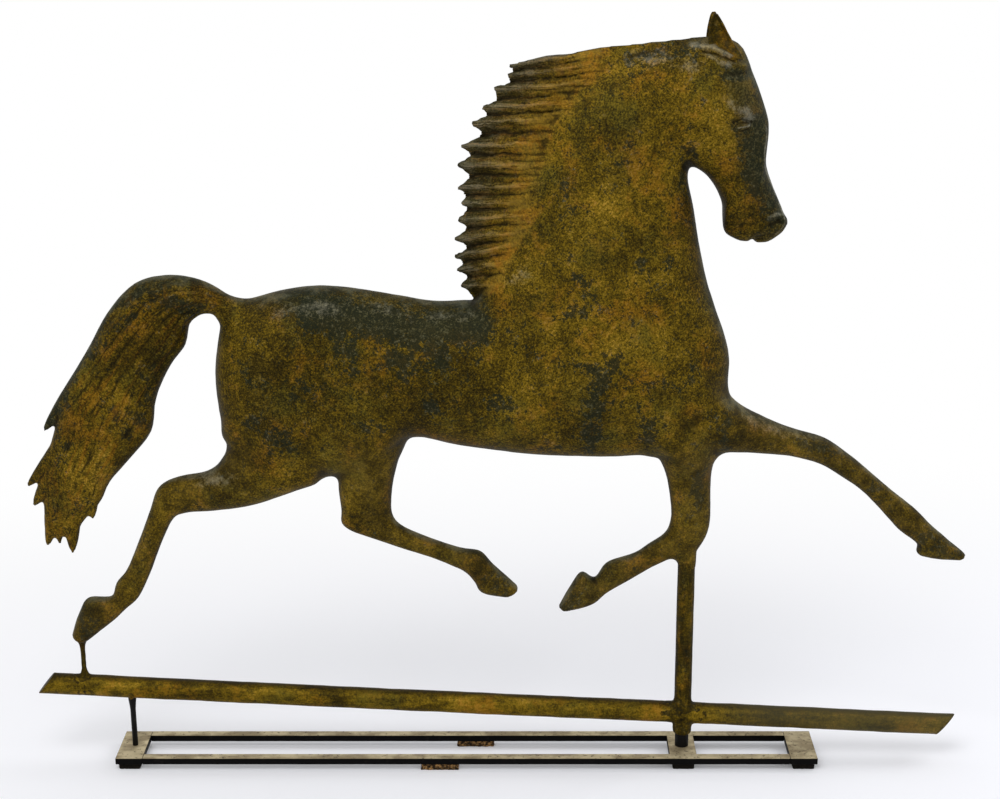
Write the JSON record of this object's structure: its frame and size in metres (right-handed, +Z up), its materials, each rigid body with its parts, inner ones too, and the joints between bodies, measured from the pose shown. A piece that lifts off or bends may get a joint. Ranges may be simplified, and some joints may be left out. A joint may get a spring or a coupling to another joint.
{
  "type": "weathervane",
  "caption": "Hollow sheet-copper trotting horse weathervane on a sloping rod, turning on the post of a low flat-bar display stand.",
  "frame": {"origin": "where the vertical turning axis meets the floor, under the stand's cross plate", "axes": "+X the way the horse faces, +Y the horse's left side, +Z up"},
  "size_m": [0.866, 0.0844, 0.698],
  "materials": {
    "patinated_copper": "old gilding worn to mottled ochre and dark green-brown patina",
    "strut_rod": "dark brown patina",
    "stand_steel": "flat bar with a worn tan-grey top and black edges",
    "black_steel": "satin black paint",
    "black_plastic": "satin black",
    "felt": "dark felt",
    "cork": "rough cork"
  },
  "bodies": {
    "stand": {"front_rail": "stand_steel", "back_rail": "stand_steel", "cross_plate": "stand_steel", "rear_end_plate": "stand_steel", "front_end_plate": "stand_steel", "post_pin": "stand_steel", "rear_prop": "black_steel", "plate_pads": "felt", "rail_pads": "cork"},
    "sleeve": {"post_sleeve": "black_plastic"},
    "vane": {"body_right": "patinated_copper", "body_left": "patinated_copper", "mane_right": "patinated_copper", "mane_left": "patinated_copper", "tail_right": "patinated_copper", "tail_left": "patinated_copper", "ear_right": "patinated_copper", "ear_left": "patinated_copper", "right_foreleg_outer": "patinated_copper", "right_foreleg_inner": "patinated_copper", "left_foreleg_outer": "patinated_copper", "left_foreleg_inner": "patinated_copper", "right_hind_leg_outer": "patinated_copper", "right_hind_leg_inner": "patinated_copper", "left_hind_leg_outer": "patinated_copper", "left_hind_leg_inner": "patinated_copper", "spindle_tube": "patinated_copper", "tube_plug": "patinated_copper", "tube_solder": "patinated_copper", "rod": "patinated_copper", "rod_cap_rear": "patinated_copper", "rod_cap_front": "patinated_copper", "hoof_strut": "strut_rod", "strut_solder": "patinated_copper"}
  },
  "joints": [
    {"name": "vane_turn", "type": "hinge", "parent": "stand", "child": "sleeve", "pos_m": [0, 0, 0.15], "axis": [0, 0, 1], "continuous": true},
    {"name": "vane_lift", "type": "slide", "parent": "sleeve", "child": "vane", "axis": [0, 0, 1], "range_m": [0, 0.28]}
  ]
}
